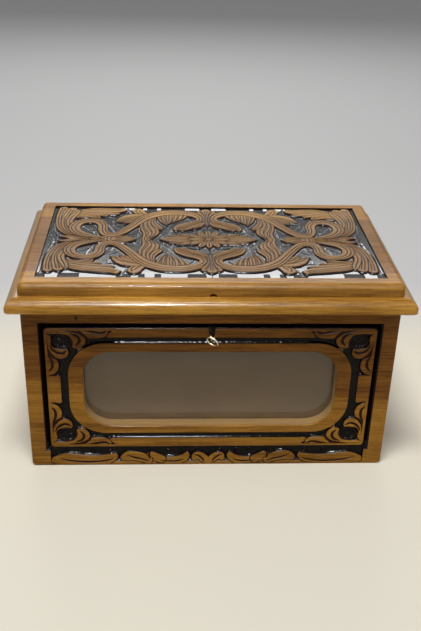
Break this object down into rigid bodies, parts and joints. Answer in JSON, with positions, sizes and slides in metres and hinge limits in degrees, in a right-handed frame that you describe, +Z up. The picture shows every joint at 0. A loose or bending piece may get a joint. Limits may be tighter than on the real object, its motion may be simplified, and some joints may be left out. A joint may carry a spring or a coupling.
{
  "type": "scarf chest with drawer",
  "caption": "Carved walnut table chest with a moulded cornice, a lifting lid over a shallow tray and one deep glazed-front drawer with a ring pull.",
  "frame": {"origin": "on the surface the chest stands on, under the middle of the case and cornice", "axes": "+X to the right as seen from the drawer's side, +Y to the back (hinge side), +Z up"},
  "size_m": [0.4, 0.243, 0.216],
  "materials": {
    "walnut": "gloss lacquered walnut, carved grounds painted black",
    "inner_wood": "plain sanded board",
    "glass": "clear flat sheet",
    "brass": "polished",
    "steel": "bright"
  },
  "bodies": {
    "case": {"case_front": "walnut", "case_left_side": "walnut", "case_right_side": "walnut", "case_back": "walnut", "case_bottom": "inner_wood", "tray_floor": "inner_wood", "cornice_front": "walnut", "cornice_back": "walnut", "cornice_left": "walnut", "cornice_right": "walnut", "drawer_runner_left": "inner_wood", "drawer_runner_right": "inner_wood", "hinge_case_leaf_left": "brass", "hinge_case_leaf_right": "brass", "hinge_pin_left": "steel", "hinge_pin_right": "steel", "case_hinge_screws": "steel"},
    "lid": {"lid_panel": "walnut", "hinge_lid_leaf_left": "brass", "hinge_lid_leaf_right": "brass", "lid_hinge_screws": "steel"},
    "drawer": {"drawer_front": "walnut", "window_glass": "glass", "glazing_bead_top": "walnut", "glazing_bead_bottom": "walnut", "glazing_bead_left": "walnut", "glazing_bead_right": "walnut", "drawer_side_left": "inner_wood", "drawer_side_right": "inner_wood", "drawer_back": "inner_wood", "drawer_bottom": "inner_wood", "screw_eye": "brass"},
    "ring": {"pull_ring": "brass"}
  },
  "joints": [
    {"name": "lid_hinge", "type": "hinge", "parent": "case", "child": "lid", "pos_m": [0, 0.1128, 0.203], "axis": [-1, 0, 0], "range_deg": [0, 105]},
    {"name": "drawer_slide", "type": "slide", "parent": "case", "child": "drawer", "axis": [0, -1, 0], "range_m": [0, 0.15]},
    {"name": "ring_swing", "type": "hinge", "parent": "drawer", "child": "ring", "pos_m": [-0.0011, -0.1155, 0.1609], "axis": [-0.8269, 0.5623, 0], "range_deg": [0, 120]}
  ]
}
